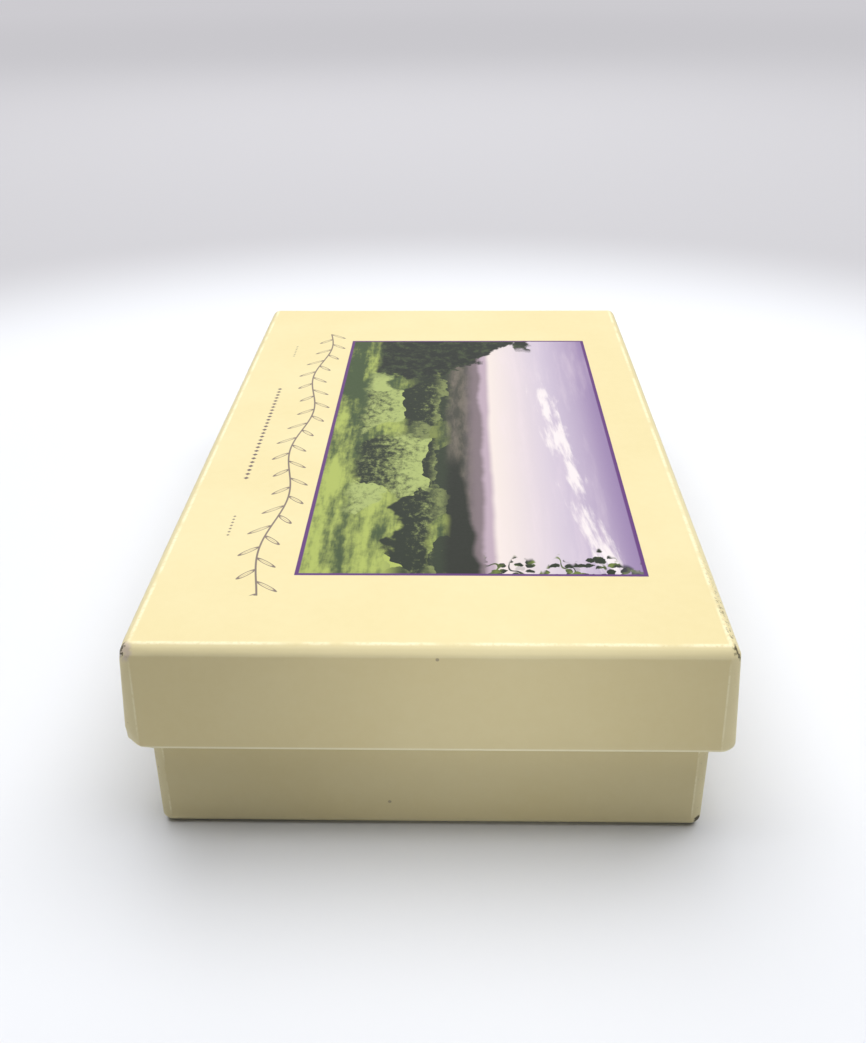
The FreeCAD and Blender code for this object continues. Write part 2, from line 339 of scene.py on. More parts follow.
def sky(finish, u, v):
    """Lilac above, pale and warm towards the hills, with a drift of cloud that climbs to the right."""
    high = finish.mix(v.step(0.74, 1.04), (0.50, 0.435, 0.525), (0.27, 0.195, 0.34))
    colour = finish.mix(v.step(0.52, 0.84), (0.70, 0.62, 0.57), high)
    haze = finish.noise(1.0, 4.0, 0.6, at=finish.vector(u * 3.0, v * 14.0, 8.0)).step(0.45, 0.75)
    colour = finish.mix(haze * 0.30, colour, (0.70, 0.60, 0.64))
    drift = v - 0.775 - (u * u) * 0.13
    wisp = finish.noise(1.0, 5.0, 0.60, at=finish.vector(u * 7.0, drift * 22.0, 3.0))
    cloud = (wisp - drift.size() * 3.2).step(0.38, 0.56) * u.step(0.16, 0.34)
    return finish.mix(cloud * 0.85, colour, (0.76, 0.70, 0.69))


def ridge(finish, u, v, height, swing, pitch, seed, soft=0.012):
    """1 below a rolling skyline."""
    line = finish.noise(1.0, 4.0, 0.5, at=finish.vector(u * pitch, seed)) - 0.5
    return (line * swing + height - v).step(-soft, soft)


def bushes(finish, u, v, scale, seed, dark, light):
    """Ragged clumps, lit from above and dark beneath, with broken foliage."""
    across, up = u * 2.07, v * 1.35
    where = (across * scale * 1.9, up * scale * 1.9)
    wander_x = finish.noise(1.0, 3.0, 0.62, at=finish.vector(*where, seed)) - 0.5
    wander_y = finish.noise(1.0, 3.0, 0.62, at=finish.vector(*where, seed + 7.0)) - 0.5
    at_x = across + wander_x * (0.65 / scale) + seed
    at_y = up + wander_y * (0.65 / scale)
    spread, centre_y, tone = finish.cells(finish.vector(at_x, at_y), scale, 0.8)
    lift = (at_y - centre_y) * scale
    leaf = finish.noise(1.0, 4.0, 0.72, at=finish.vector(across * 34.0, up * 34.0, seed)) - 0.5
    share = (lift * 1.15 + 0.36 + leaf * 2.4 + (tone - 0.5) * 0.3).step(0.05, 1.0)
    return finish.mix(share, dark, light), spread, tone


def land(finish, u, v):
    """Meadow with clumps of trees that grow smaller into the distance."""
    sward = finish.noise(1.0, 4.0, 0.6, at=finish.vector(u * 5.0, v * 13.0, 1.0))
    blade = finish.noise(1.0, 3.0, 0.7, at=finish.vector(u * 60.0, v * 36.0, 5.0)) - 0.5
    lit = (sward + blade * 0.20 + u * 0.16).step(0.50, 0.74)
    colour = finish.mix(lit, (0.046, 0.072, 0.028), (0.34, 0.40, 0.095))
    far, _, far_tone = bushes(finish, u, v, 5.6, 4.0, (0.026, 0.036, 0.020), (0.17, 0.20, 0.070))
    colour = finish.mix(v.step(0.22, 0.32) * far_tone.step(0.14, 0.26), colour, far)
    near_by, spread, near_tone = bushes(finish, u, v, 2.5, 5.0, (0.018, 0.025, 0.015), (0.33, 0.39, 0.13))
    ragged = finish.noise(1.0, 4.0, 0.65, at=finish.vector(u * 22.0, v * 12.0, 4.0)) - 0.5
    grove = near_tone.step(0.26, 0.32) * (spread + ragged * 0.3).step(0.66, 0.58)
    grove = grove * (v + ragged * 0.10).step(0.09, 0.13) * (v + ragged * 0.06).step(0.40, 0.36)
    return finish.mix(grove * u.step(0.16, 0.24), colour, near_by)


def tall_tree(finish, u, v, colour):
    """A dark tree at the picture's left, its crown ragged against the sky."""
    crown = finish.noise(1.0, 5.0, 0.62, at=finish.vector(u * 16.0, v * 9.0, 21.0)) - 0.5
    lean = ((v - 0.28) * 2.5).math("POWER", 2.0)
    inside = (0.215 - lean * 0.20 + crown * 0.17 - u).step(-0.006, 0.008)
    inside = inside * (v + crown * 0.12).step(0.11, 0.15)
    bough = (u + crown * 0.10).step(0.085, 0.055) * (v - 0.735 + crown * 0.14).within(0.020, 0.012)
    shade = finish.noise(1.0, 5.0, 0.7, at=finish.vector(u * 40.0, v * 22.0, 2.0)).step(0.46, 0.72)
    leaves = finish.mix(shade, (0.014, 0.018, 0.013), (0.060, 0.082, 0.034))
    return finish.mix(inside.high(bough), colour, leaves)


def leaf_spray(finish, u, v):
    """Sprigs of small leaves that hang into the picture from its upper right."""
    hang = finish.noise(1.0, 3.0, 0.6, at=finish.vector(v * 6.5, 2.0)) - 0.44
    shape = (u - 0.975 + hang * 0.30).step(-0.006, 0.006) * v.step(0.53, 0.56)
    warp = finish.noise(1.0, 3.0, 0.6, at=finish.vector(u * 40.0, v * 20.0, 3.0)) - 0.5
    at = finish.vector(u * 96.0 + warp * 2.0, v * 48.0 - warp * 1.6)
    distance, _, tone = finish.cells(at, 0.8)
    leaves = shape * distance.step(0.56, 0.46) * tone.step(0.24, 0.30)
    twig = finish.noise(1.0, 2.0, 0.5, at=finish.vector(u * 9.0, v * 9.0, 6.0)) - 0.5
    return leaves.high(shape * twig.within(0.006, 0.010) * u.step(0.93, 0.95))


def landscape(finish, u, v):
    """The whole picture, from the sky forwards."""
    colour = sky(finish, u, v)
    colour = finish.mix(ridge(finish, u, v, 0.575, 0.05, 3.0, 1.0), colour, (0.40, 0.31, 0.37))
    colour = finish.mix(ridge(finish, u, v, 0.545, 0.09, 5.0, 5.0), colour, (0.175, 0.135, 0.150))
    fold = finish.noise(1.0, 4.0, 0.6, at=finish.vector(u * 13.0, v * 30.0, 6.0))
    slope = finish.mix(fold.step(0.35, 0.7), (0.050, 0.050, 0.038), (0.14, 0.120, 0.095))
    colour = finish.mix(ridge(finish, u, v, 0.50, 0.06, 7.0, 9.0, 0.03), colour, slope)
    rising = v - (u - 0.6) * 0.14
    wood = ridge(finish, u, rising, 0.470, 0.07, 11.0, 12.0) * u.step(0.56, 0.66)
    colour = finish.mix(wood, colour, (0.017, 0.020, 0.014))
    colour = finish.mix(ridge(finish, u, v, 0.425, 0.045, 8.0, 15.0, 0.02), colour, land(finish, u, v))
    colour = tall_tree(finish, u, v, colour)
    sun = finish.noise(1.0, 2.0, 0.5, at=finish.vector(u * 40.0, v * 22.0, 7.0)).step(0.48, 0.66)
    leaves = finish.mix(sun, LEAF_DARK, LEAF_LIT)
    return finish.mix(leaf_spray(finish, u, v), colour, leaves)


def vine(finish, a, b, start, end, wave, swing, pitch, leaf=1.0):
    """A printed sprig: a gently waving stem with slender leaves, in outline, on either side of it."""
    phase = (a - start) * (2 * math.pi / wave)
    off = b - phase.math("SINE") * swing
    slope = phase.math("COSINE") * (swing * 2 * math.pi / wave)
    stroke = (off / (slope * slope + 1.0).math("SQRT")).within(0.13 * leaf, 0.10)
    count = (a - start) / pitch
    number = count.math("FLOOR")
    side = 1.0 - (number / 2).math("FRACT") * 4.0
    out = off * side - LEAF_CENTRE * leaf
    lean = (count - number - 0.5) * pitch - out * 0.95
    across = (lean / (LEAF_HALF_WIDTH * leaf)).math("POWER", 2.0)
    along = (out / (LEAF_HALF_LENGTH * leaf)).math("POWER", 2.0)
    shape = (across + along).math("SQRT")
    outline = (shape - 1.0).within(0.12, 0.14)
    vein = lean.within(0.03, 0.10) * shape.step(1.0, 0.8)
    inside = a.step(start, start + 0.3) * a.step(end + 0.3, end)
    return stroke.high(outline).high(vein * 0.6) * inside


def beads(finish, a, b, start, count, spacing, radius):
    """A printed row of small diamonds."""
    turn = (a - start) / spacing
    across = (turn - turn.math("FLOOR") - 0.5) * spacing
    end = start + count * spacing
    inside = a.step(start, start + 0.05) * a.step(end, end - 0.05)
    return (across.size() + b.size()).step(radius + 0.06, radius - 0.06) * inside


def ornament(finish, a, b, wide):
    """How much ink lies under the picture: a leafy scroll, a row of diamonds and two short rows."""
    small = (SMALL_COUNT, SMALL_SPACING, SMALL_RADIUS)
    end = wide + SCROLL_PAST
    scroll = vine(finish, a, b + SCROLL_BELOW, SCROLL_START, end, wave=46.0, swing=1.3, pitch=4.3)
    row = beads(finish, a, b + ROW_BELOW, ROW_START, ROW_COUNT, ROW_SPACING, ROW_RADIUS)
    right = beads(finish, a, b + RIGHT_BELOW, RIGHT_START, *small)
    left = beads(finish, a, b + LEFT_BELOW, LEFT_START, *small)
    return (scroll * 0.80).high(row * 0.9).high(right * 0.75).high(left * 0.6)


def lid_print(finish, paper):
    """The framed landscape with plain ornament beneath it, where the lid's lettering would be."""
    a, b, wide, tall = picture_frame(finish)
    inside = (a - wide / 2).within(wide / 2 - 0.05, 0.1) * (b - tall / 2).within(tall / 2 - 0.05, 0.1)
    past = (a - wide / 2).size() - (wide / 2 - BORDER)
    past = past.high((b - tall / 2).size() - (tall / 2 - BORDER))
    border = past.step(-0.12, 0.12)
    colour = landscape(finish, a / wide, b / tall)
    dusk = (b / tall).step(0.90, 1.0) * 0.35
    colour = finish.mix(dusk, colour, (0.17, 0.10, 0.26))
    colour = finish.mix(border, colour, PLUM)
    colour = finish.mix(inside, paper, colour)
    return finish.mix(ornament(finish, a, b, wide), colour, INK)


def wrap_surface(finish, colour, fleck):
    """The sheen and relief that both wraps share, with the marks on the near end."""
    finish.colour(specks_on_front(finish, colour))
    finish.rough(0.38 + fleck * 0.16)
    finish.bump(paper_relief(finish), WRAP_RELIEF)
    return finish.set(Specular_IOR_Level=WRAP_SPECULAR)


def printed_wrap():
    """The lid's paper, printed on its top face only."""
    finish = Finish("printed_wrap")
    base = cream_base(finish)
    on_top = finish.z.step(LID_HIGH.z / MM - 0.6, LID_HIGH.z / MM - 0.3)
    printed = finish.mix(on_top, base, lid_print(finish, base))
    colour, fleck = worn_paper_and_highlights(finish, printed, LID_LOW, LID_HIGH, LID_FLARE, True)
    return wrap_surface(finish, lid_damage(finish, colour), fleck)


def near(finish, point, radius, soft):
    """1 about a point given in millimetres."""
    dx, dy, dz = (axis - value for axis, value in zip((finish.x, finish.y, finish.z), point))
    return (dx * dx + dy * dy + dz * dz).math("SQRT").step(radius + soft, radius)


def torn_corner(finish, colour, x, y, top, ragged, broad):
    """Bare board where the paper has torn at a corner, with grime along the tear."""
    torn = near(finish, (x + 0.7, y + 0.6, top - 1.1), 1.2, 1.0) * broad.step(0.36, 0.50)
    bared = finish.mix(ragged.step(0.36, 0.46), BARE_DARK, BARE_PALE)
    colour = finish.mix(torn * 0.9, colour, bared)
    tear = (finish.x - x - 1.3 - (finish.z - top) * 0.6 + (broad - 0.5) * 3.0).within(0.08, 0.12)
    tear = tear * near(finish, (x + 0.6, y + 0.5, top - 1.2), 1.5, 0.6)
    return finish.mix(tear * 0.9, colour, GRIME)


def cracked_corner(finish, colour, x, y, top, ragged):
    """A thin dark crack down a corner."""
    crack = (finish.x - x + 1.15 + (finish.z - top) * 0.45 + (ragged - 0.5) * 0.9).within(0.10, 0.12)
    crack = crack * near(finish, (x - 0.9, y + 0.6, top - 0.9), 1.3, 0.6)
    return finish.mix(crack * 0.9, colour, GRIME)


def worn_fold(finish, colour, x, y, top, ragged, broad):
    """Dark specks along the near part of the +X fold."""
    on_fold = (finish.x - x + 1.0).within(0.35, 0.45) * (finish.z - top + 0.3).within(0.6, 0.4)
    near_part = (finish.y + (broad - 0.5) * 30.0).step(y + 48.0, y + 4.0)
    return finish.mix(on_fold * near_part * ragged.step(0.52, 0.60) * 0.7, colour, GRIME)


def lid_damage(finish, colour):
    """The wear of the lid: its torn near left corner, cracked near right corner and worn right fold."""
    x = LID_HIGH.x / MM - LID_FLARE / MM
    y = LID_LOW.y / MM + LID_FLARE / MM
    top = LID_HIGH.z / MM
    ragged = finish.noise(1.5, 4.0, 0.7)
    broad = finish.noise(0.75, 3.0, 0.6)
    colour = torn_corner(finish, colour, -x, y, top, ragged, broad)
    colour = cracked_corner(finish, colour, x, y, top, ragged)
    return worn_fold(finish, colour, x, y, top, ragged, broad)


def specks_on_front(finish, colour):
    """Two small marks on the near end."""
    lid_mark = near(finish, (1.5, LID_LOW.y / MM + 0.9, LID_HIGH.z / MM - 1.9), 0.22, 0.15)
    base_mark = near(finish, (-7.0, BASE_LOW.y / MM + 0.1, BASE_LOW.z / MM + 5.4), 0.28, 0.15)
    return finish.mix(lid_mark.high(base_mark) * 0.7, colour, GREYBOARD)


def plain_wrap():
    """The base's paper: slightly darker, partly a darker sheet and partly painted shade, with a nick at the
    lower right of its near end.
    """
    finish = Finish("plain_wrap")
    # Darker cream: partly a darker sheet, partly painted shade.
    base = cream_base(finish, BASE_TONE_AND_SHADE)
    colour, fleck = worn_paper_and_highlights(finish, base, BASE_LOW, BASE_HIGH, BASE_FLARE, False)
    nick = near(finish, (BASE_HIGH.x / MM - 1.2, BASE_LOW.y / MM + 0.9, 1.7), 0.55, 0.35)
    colour = finish.mix(nick * finish.noise(1.0, 3.0).step(0.40, 0.46), colour, GRIME)
    return wrap_surface(finish, colour, fleck)


# ---------------------------------------------------------------------------------------------------
# The other finishes


def fibrous(name, dark, light, grain, roughness, relief):
    """Board, card, tape or lining: two tones of fibre with relief."""
    finish = Finish(name)
    cloud = finish.noise(grain * 0.12, 3.0)
    fibre = finish.noise(grain, 5.0, 0.7)
    finish.colour(finish.mix((cloud * 0.5 + fibre * 0.5).step(0.36, 0.64), dark, light))
    finish.rough(roughness - 0.1 + fibre * 0.2)
    finish.bump(fibre, relief)
    return finish.set(Specular_IOR_Level=0.3)


def soap_finish():
    """Pressed olive-oil soap: waxy, cloudy and flecked with ground leaf."""
    finish = Finish("soap")
    cloud = finish.noise(0.09, 4.0, 0.55)
    marble = finish.noise(0.3, 4.0, 0.6)
    body = finish.mix((cloud * 0.7 + marble * 0.3).step(0.38, 0.62), (0.36, 0.40, 0.145), (0.52, 0.55, 0.25))
    fleck = finish.noise(1.6, 3.0, 0.7).step(0.66, 0.72)
    finish.colour(finish.mix(fleck * 0.7, body, (0.16, 0.18, 0.05)))
    finish.rough(0.34 + marble * 0.16)
    finish.bump(finish.noise(0.8, 4.0, 0.6), 0.06)
    return finish.set(Specular_IOR_Level=0.45, Subsurface_Weight=0.25, Subsurface_Scale=0.004)


def band_finish():
    """Cream band paper with ruled edges and a printed row of leaves round the bar."""
    finish = Finish("band_paper")
    fibre = finish.noise(3.0, 4.0, 0.65)
    paper = finish.mix(fibre.step(0.35, 0.65), (0.86, 0.77, 0.53), (0.91, 0.83, 0.60))
    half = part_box("soap_band_1")[1].x / MM
    rule = (finish.x.size() - (half - 3.0)).within(0.25, 0.08)
    thin = (finish.x.size() - (half - 4.2)).within(0.08, 0.06)
    paper = finish.mix(rule.high(thin), paper, PLUM)
    turn = finish.y / (SOAP_PITCH / MM)
    across = (turn - (turn + 0.5).math("FLOOR")) * (SOAP_PITCH / MM)
    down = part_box("soap_band_1")[1].z / MM - finish.z
    along = across.math("SIGN") * (across.size() + down)
    sprig = vine(finish, along + 60.0, finish.x, 0.0, 120.0, 30.0, 1.6, 4.6, 1.35)
    paper = finish.mix(sprig * 0.9, paper, (0.075, 0.105, 0.035))
    finish.colour(paper)
    finish.rough(0.5 + fibre * 0.2)
    finish.bump(fibre, 0.03)
    return finish.set(Specular_IOR_Level=0.35)


# ---------------------------------------------------------------------------------------------------
# Meshes

ARC_STEPS = 8
FOLD_STEPS = 8
SIDE_STEPS = {"x": 44, "y": 80}
WALL_STEPS = 12
HEM_STEPS = 5
INSIDE_STEPS = 5
CREASE = 0.18 * MM
FOLD_FLATNESS = 0.38
SWELL = 0.22 * MM
SWELL_GRAIN = 28.0
END_WALL_SHARE = 0.6
WALL_REACH = 1.2 * MM


def shares(run, length):
    """Places of points along a side, as shares of it, with one close to each end for a crisp crease."""
    close = CREASE / length
    steps = SIDE_STEPS[run]
    return [0.0, *(close + (1 - 2 * close) * step / steps for step in range(steps + 1)), 1.0]


def ring(half_x, half_y, radius):
    """Points round a rectangle with rounded corners, from its lower right corner, turning left."""
    points = []
    corners = ((1, -1, "y"), (1, 1, "x"), (-1, 1, "y"), (-1, -1, "x"))
    for number, (sx, sy, run) in enumerate(corners):
        centre = Vector((sx * (half_x - radius), sy * (half_y - radius)))
        for step in range(ARC_STEPS + 1):
            angle = math.pi / 2 * (number - 1 + step / ARC_STEPS)
            points.append(centre + radius * Vector((math.cos(angle), math.sin(angle))))
        start = points[-1]
        next_sx, next_sy, _ = corners[(number + 1) % 4]
        centre = Vector((next_sx * (half_x - radius), next_sy * (half_y - radius)))
        angle = math.pi / 2 * number
        end = centre + radius * Vector((math.cos(angle), math.sin(angle)))
        points += [start.lerp(end, share) for share in shares(run, (end - start).length)[1:-1]]
    return points


def shell(rows, cap):
    """A surface through rings at rows of (half_x, half_y, radius, z), with a grid across the first."""
    mesh = bmesh.new()
    previous = None
    for half_x, half_y, radius, z in rows:
        loop = [mesh.verts.new((*point, z)) for point in ring(half_x, half_y, radius)]
        if previous:
            for index, vert in enumerate(loop):
                mesh.faces.new((previous[index - 1], loop[index - 1], vert, previous[index]))
        previous = loop
    cap_grid(mesh, *cap)
    bmesh.ops.remove_doubles(mesh, verts=mesh.verts, dist=1e-7)
    bmesh.ops.dissolve_degenerate(mesh, edges=mesh.edges, dist=1e-7)
    bmesh.ops.recalc_face_normals(mesh, faces=mesh.faces)
    return mesh


def cap_grid(mesh, half_x, half_y, z):
    """A flat grid whose border meets a sharp-cornered ring."""
    across = [half_x * (2 * share - 1) for share in shares("x", 2 * half_x)]
    along = [half_y * (2 * share - 1) for share in shares("y", 2 * half_y)]
    verts = [[mesh.verts.new((x, y, z)) for y in along] for x in across]
    for left, right in zip(verts, verts[1:]):
        for step in range(len(along) - 1):
            mesh.faces.new((left[step], right[step], right[step + 1], left[step + 1]))


def finish_mesh(name, mesh, material, body):
    """Makes a piece of a bmesh and gives it its finish and its body."""
    data = bpy.data.meshes.new(name)
    mesh.to_mesh(data)
    mesh.free()
    piece = bpy.data.objects.new(name, data)
    bpy.context.scene.collection.objects.link(piece)
    data.materials.append(material)
    for face in data.polygons:
        face.use_smooth = True
    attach(piece, body)
    return piece


def apply_modifier(piece, kind, **settings):
    modifier = piece.modifiers.new(kind.lower(), kind)
    for name, value in settings.items():
        setattr(modifier, name, value)
    with bpy.context.temp_override(object=piece, active_object=piece, selected_objects=[piece]):
        bpy.ops.object.modifier_apply(modifier=modifier.name)


def tray_rows(low, high, flare, turn_in, closed_up):
    """Rings of a tray's paper, from its closed face over the fold, down the wall and up the inside."""
    depth = high.z - low.z
    base_x = (high.x - low.x) / 2 - flare
    base_y = (high.y - low.y) / 2 - flare

    def row(inset, rise):
        out = flare * rise / depth - inset
        z = high.z - rise if closed_up else low.z + rise
        return (base_x + out, base_y + out, max(CORNER_RADIUS + out, 0.0), z)

    rows = [row(CORNER_RADIUS, 0.0)]
    for step in range(FOLD_STEPS + 1):
        share = step / FOLD_STEPS
        round_inset = FOLD_RADIUS * (1 - math.sin(share * math.pi / 2))
        round_rise = FOLD_RADIUS * (1 - math.cos(share * math.pi / 2))
        inset = round_inset * (1 - FOLD_FLATNESS) + FOLD_RADIUS * (1 - share) * FOLD_FLATNESS
        rise = round_rise * (1 - FOLD_FLATNESS) + FOLD_RADIUS * share * FOLD_FLATNESS
        rows.append(row(inset, rise))
    wall_start = FOLD_RADIUS + CREASE
    wall_end = depth - HEM_RADIUS
    for step in range(WALL_STEPS + 1):
        rows.append(row(0.0, wall_start + (wall_end - wall_start) * step / WALL_STEPS))
    for centre, turn in ((HEM_RADIUS, 0.0), (STACK - HEM_RADIUS, math.pi / 2)):
        for step in range(1, HEM_STEPS + 1):
            angle = turn + math.pi / 2 * step / HEM_STEPS
            rows.append(row(centre - HEM_RADIUS * math.cos(angle), wall_end + HEM_RADIUS * math.sin(angle)))
    for step in range(1, INSIDE_STEPS + 1):
        rows.append(row(STACK, wall_end - (turn_in - HEM_RADIUS) * step / INSIDE_STEPS))
    cap = (base_x - CORNER_RADIUS, base_y - CORNER_RADIUS, high.z if closed_up else low.z)
    return rows, cap


def middle_share(value, low, high):
    """1 in the middle of a face and 0 at its edges."""
    return max(1 - (2 * value / (high - low)) ** 2, 0)


def loosen(mesh, low, high, closed_up):
    """Bows a tray's paper outwards a little towards the middle of each wall and of the lid's top."""
    for vert in mesh.verts:
        co = vert.co
        size = SWELL * (0.5 + 0.5 * noise.noise(co * SWELL_GRAIN))
        share_x = middle_share(co.x, low.x, high.x)
        share_y = middle_share(co.y, low.y, high.y)
        if closed_up and abs(co.z - high.z) < 0.2 * FOLD_RADIUS:
            co.z += size * share_x * share_y
        elif abs(abs(co.y) - high.y) < WALL_REACH:
            co.y += math.copysign(size * share_x, co.y) * END_WALL_SHARE
        elif abs(abs(co.x) - high.x) < WALL_REACH:
            co.x += math.copysign(size * share_y, co.x)


# Blender seeds noise_vector from the clock, so it is seeded here to crumple alike on every run.
CRUMPLE_SEED = 11
noise.seed_set(CRUMPLE_SEED)

# Where corners of the lid have been knocked: the point, the reach of the dent, its push and its crumpling.
NEAR_LEFT = Vector((LID_LOW.x, LID_LOW.y, 0))
NEAR_RIGHT = Vector((LID_HIGH.x, LID_LOW.y, 0))
OPEN_EDGE = Vector((0, 0, LID_LOW.z))
TOP_EDGE = Vector((0, 0, LID_HIGH.z - MM))
INTO_LEFT = Vector((1, 1, 0)) * MM
INTO_RIGHT = Vector((-1, 1, 0)) * MM
CRUMPLE_GRAIN = 0.9 * MM
DENTS = (
    (NEAR_LEFT + OPEN_EDGE, 3.6 * MM, Vector((0.75, 0.6, 0.95)) * MM, 0.10 * MM),
    (NEAR_RIGHT + OPEN_EDGE, 2.4 * MM, Vector((-0.15, 0.1, 0.2)) * MM, 0.05 * MM),
    (NEAR_LEFT + TOP_EDGE + INTO_LEFT, 2.6 * MM, Vector((0.35, 0.3, -0.3)) * MM, 0.30 * MM),
    (NEAR_RIGHT + TOP_EDGE + INTO_RIGHT, 1.9 * MM, Vector((-0.2, 0.2, -0.2)) * MM, 0.16 * MM),
)


def dented(co):
    """Where a point of the lid goes once its corners have been knocked."""
    moved = co.copy()
    for centre, reach, push, crumple in DENTS:
        share = max(0.0, 1 - (co - centre).length / reach)
        moved += push * share + noise.noise_vector(co / CRUMPLE_GRAIN) * crumple * share
    return moved


def round_profile(co, centre, low, high, flare):
    """How far a point of the lid's paper lies round its section, from the fold over the hem and inside."""
    depth = high.z - low.z
    rise = high.z - co.z
    past_x, past_y = abs(centre.x) - high.x, abs(centre.y) - high.y
    edge = abs(co.x) - high.x if past_x > past_y else abs(co.y) - high.y
    inset = flare * (rise / depth - 1) - edge
    if high.z - centre.z < FOLD_RADIUS:
        return rise - inset
    if -max(past_x, past_y) > STACK / 2 + flare * (centre.z - low.z) / depth:
        return 2 * depth - rise + inset
    return rise + inset


# The bake's image, in shares of its size: its margin, the foot of the top's place, and the foot and
# height of the strips for the sides. A strip takes the paper's profile, in millimetres from its start.
BAKE_MARGIN = 0.01
BAKE_TOP = 0.45
BAKE_STRIPS = 0.16
BAKE_STRIP = 0.07
BAKE_INNER_FOOT, BAKE_INNER_SCALE = 0.005, 0.17
PROFILE_START, PROFILE_LENGTH = -3.0, 44.0


def bake_place(co, centre, on_top, low, high, flare):
    """Where a point of the lid's paper goes in the bake's image: the top above, the four sides below."""
    scale = (1 - 2 * BAKE_MARGIN) / (high.y - low.y)
    if on_top:
        return Vector((BAKE_MARGIN + (co.y - low.y) * scale, BAKE_TOP + (co.x - low.x) * scale))
    faces_x = abs(centre.x) - high.x > abs(centre.y) - high.y
    along = co.y - low.y if faces_x else co.x - low.x
    strip = (0 if faces_x else 2) + (1 if (centre.x if faces_x else centre.y) > 0 else 0)
    profile = round_profile(co, centre, low, high, flare) / MM
    round_share = (profile - PROFILE_START) / PROFILE_LENGTH
    return Vector((BAKE_MARGIN + along * scale, BAKE_STRIPS + BAKE_STRIP * (strip + round_share)))


def bake_map(piece, outer_faces, low, high, flare):
    """A UV map that gives the printed top most of a baked image, and the hidden inner skin little."""
    data = piece.data
    places = data.uv_layers.new(name="OFBake").uv
    for face in data.polygons:
        on_top = abs(face.normal.z) > 0.7 and face.center.z > high.z - FOLD_RADIUS
        for corner in face.loop_indices:
            co = data.vertices[data.loops[corner].vertex_index].co
            place = bake_place(co, face.center, on_top, low, high, flare)
            if face.index >= outer_faces:
                place.y = BAKE_INNER_FOOT + BAKE_INNER_SCALE * (place.y - BAKE_STRIPS)
            places[corner].vector = place


def wrap_piece(name, node, low, high, flare, turn_in, closed_up, material, body):
    """The paper of a tray as one thin sheet folded round its board."""
    rows, cap = tray_rows(low, high, flare, turn_in, closed_up)
    mesh = shell(rows, cap)
    loosen(mesh, low, high, closed_up)
    if closed_up:
        for vert in mesh.verts:
            vert.co = dented(vert.co)
    piece = finish_mesh(name, mesh, material, body)
    outer_faces = len(piece.data.polygons)
    apply_modifier(piece, "SOLIDIFY", thickness=PAPER, offset=-1.0, use_even_offset=False)
    if closed_up:
        bake_map(piece, outer_faces, low, high, flare)
    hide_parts(node)


def knocked_copy(node, material, body):
    """A lid piece under the paper, with the same knocked corners."""
    mesh = bmesh.new()
    mesh.from_mesh(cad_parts[node].data)
    for vert in mesh.verts:
        vert.co = dented(vert.co)
    piece = finish_mesh(f"{node}_knocked", mesh, material, body)
    for face in piece.data.polygons:
        face.use_smooth = False
    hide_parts(node)


def paint(node, material):
    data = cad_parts[node].data
    data.materials.clear()
    data.materials.append(material)


# ---------------------------------------------------------------------------------------------------
# The object


def build_box():
    board = fibrous("greyboard", (0.22, 0.18, 0.13), (0.36, 0.31, 0.23), 1.6, 0.85, 0.12)
    lining = fibrous("lining_paper", (0.72, 0.68, 0.58), (0.82, 0.79, 0.70), 1.2, 0.7, 0.03)
    tape = fibrous("corner_tape", (0.42, 0.28, 0.14), (0.54, 0.38, 0.21), 1.5, 0.7, 0.04)
    card = fibrous("partition_card", (0.68, 0.63, 0.52), (0.80, 0.76, 0.66), 1.0, 0.65, 0.05)
    wrap_piece("lid_paper", "lid_wrap", LID_LOW, LID_HIGH, LID_FLARE, LID_TURN_IN, True,
               printed_wrap(), "lid")
    wrap_piece("base_paper", "base_wrap", BASE_LOW, BASE_HIGH, BASE_FLARE, BASE_TURN_IN, False,
               plain_wrap(), "base")
    knocked_copy("lid_board", board, "lid")
    knocked_copy("lid_tape_front_left", tape, "lid")
    knocked_copy("lid_tape_front_right", tape, "lid")
    paint("base_board", board)
    for node in ("base_liner", "lid_liner"):
        paint(node, lining)
    for node in ("lid_tape_back_left", "lid_tape_back_right"):
        paint(node, tape)
    for end in ("front", "back"):
        for side in ("left", "right"):
            paint(f"base_tape_{end}_{side}", tape)
    paint("partition_card", card)


def build_soaps():
    soap, band = soap_finish(), band_finish()
    for number in range(1, BARS + 1):
        paint(f"soap_bar_{number}", soap)
        paint(f"soap_band_{number}", band)


# ---------------------------------------------------------------------------------------------------
# Stage, light and camera


FLOOR_RADIUS = 4.0
LENS = 41.42
SENSOR_HEIGHT = 36.0
CAMERA_PLACE = (5.0 * MM, -252.3 * MM, 143.1 * MM)
YAW, PITCH, ROLL = math.radians(1.43), math.radians(26.96), math.radians(-0.48)


def floor_finish():
    """A pale floor: white about the box, with painted shade that makes it a little greyer beyond, and
    merging with the backdrop far off.
    """
    finish = Finish("floor")
    reach = (finish.x * finish.x + finish.y * finish.y).math("SQRT")
    # Painted shade: the floor turns greyer beyond 210 mm from the box, as a falloff of light.
    floor_with_painted_shade = finish.mix(reach.step(210.0, 360.0), (0.70, 0.712, 0.742), (0.455, 0.450, 0.470))
    far = reach.step(500.0, 2000.0)
    finish.colour(finish.mix(far, floor_with_painted_shade, (0.0, 0.0, 0.0)))
    finish.rough(0.6)
    finish.set(Specular_IOR_Level=0.0, Emission_Color=(*BACKDROP, 1.0))
    plug(finish.tree, finish.shader.inputs["Emission Strength"], far)
    return finish.material


def build_stage():
    mesh = bmesh.new()
    bmesh.ops.create_circle(mesh, cap_ends=True, segments=96, radius=FLOOR_RADIUS)
    data = bpy.data.meshes.new("floor")
    mesh.to_mesh(data)
    mesh.free()
    floor = bpy.data.objects.new("floor", data)
    bpy.context.scene.collection.objects.link(floor)
    data.materials.append(floor_finish())


def area_light(name, place, aim, size, power, spread=180.0):
    light = bpy.data.lights.new(name, "AREA")
    light.shape = "RECTANGLE"
    light.size, light.size_y = size
    light.energy = power
    light.spread = math.radians(spread)
    holder = bpy.data.objects.new(name, light)
    holder.location = place
    holder.rotation_euler = (Vector(aim) - Vector(place)).to_track_quat("-Z", "Y").to_euler()
    bpy.context.scene.collection.objects.link(holder)


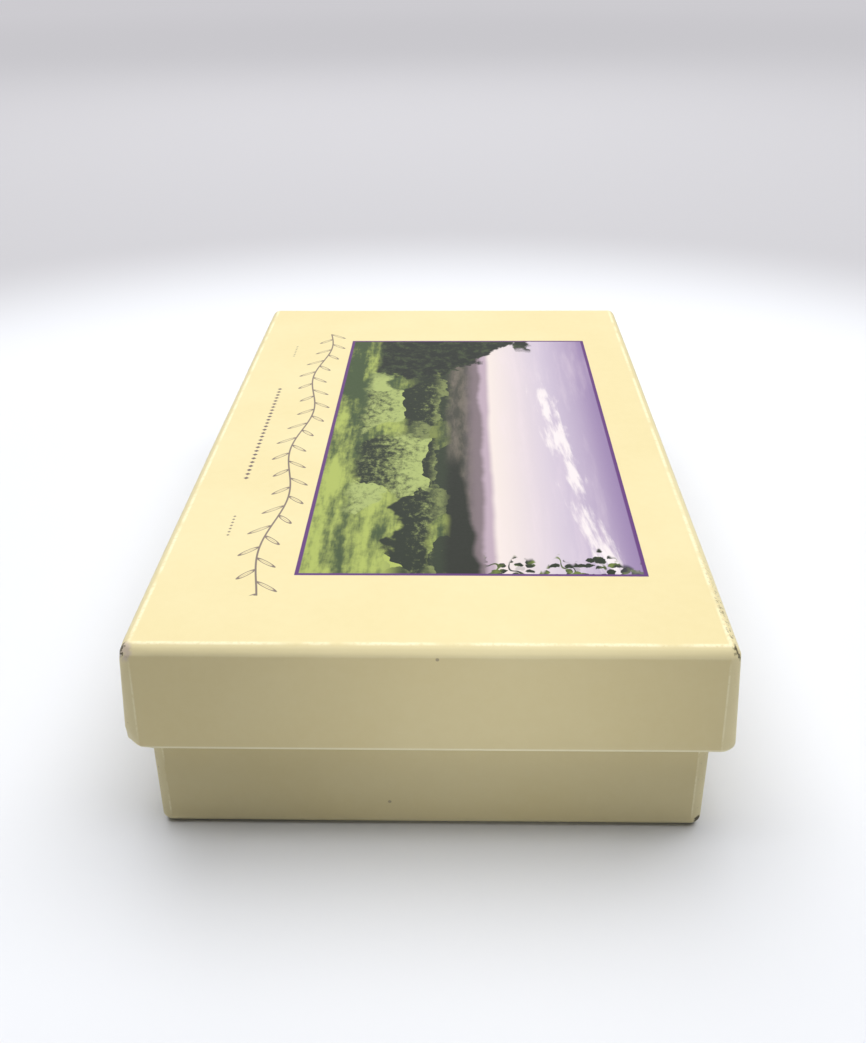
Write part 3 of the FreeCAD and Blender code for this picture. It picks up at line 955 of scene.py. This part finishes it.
def studio_world():
    """A dim even light from all round, with a pale backdrop where the camera looks past the floor."""
    world = bpy.data.worlds.new("studio")
    world.use_nodes = True
    tree = world.node_tree
    backdrop = tree.nodes["Background"]
    backdrop.inputs["Color"].default_value = (*BACKDROP, 1.0)
    ambient = tree.nodes.new("ShaderNodeBackground")
    ambient.inputs["Color"].default_value = (*AMBIENT, 1.0)
    ambient.inputs["Strength"].default_value = 0.12
    seen = tree.nodes.new("ShaderNodeLightPath")
    either = tree.nodes.new("ShaderNodeMixShader")
    tree.links.new(seen.outputs["Is Camera Ray"], either.inputs["Fac"])
    tree.links.new(ambient.outputs[0], either.inputs[1])
    tree.links.new(backdrop.outputs[0], either.inputs[2])
    tree.links.new(either.outputs[0], tree.nodes["World Output"].inputs["Surface"])
    bpy.context.scene.world = world


def build_light():
    """A large soft light overhead, a weaker one behind, and a narrow one on the near end."""
    studio_world()
    area_light("overhead", place=(0.1, 0.46, 2.00), aim=(0, 0.1, 0), size=(3.2, 2.6), power=86.5)
    area_light("behind", place=(-0.1, 0.9, 0.55), aim=(0, 0, 0.02), size=(0.8, 0.5), power=1.3)
    area_light("near_end", place=(0.02, -0.60, 0.10), aim=(0.012, -0.092, 0.033), size=(0.03, 0.03),
               power=0.0021, spread=11.0)


def build_camera():
    """A camera at the near end, a little above the lid and turned a touch to the left."""
    camera = bpy.data.cameras.new("camera")
    camera.sensor_fit = "VERTICAL"
    camera.sensor_height = SENSOR_HEIGHT
    camera.lens = LENS
    camera.clip_start = 0.01
    holder = bpy.data.objects.new("camera", camera)
    holder.location = CAMERA_PLACE
    turn = Matrix.Rotation(YAW, 3, "Z") @ Matrix.Rotation(math.pi / 2 - PITCH, 3, "X")
    holder.rotation_euler = (turn @ Matrix.Rotation(ROLL, 3, "Z")).to_euler()
    bpy.context.scene.collection.objects.link(holder)
    bpy.context.scene.camera = holder


bpy.context.scene.view_settings.view_transform = "Standard"
build_camera()
build_box()
build_soaps()
build_stage()
build_light()

bpy.context.view_layer.update()
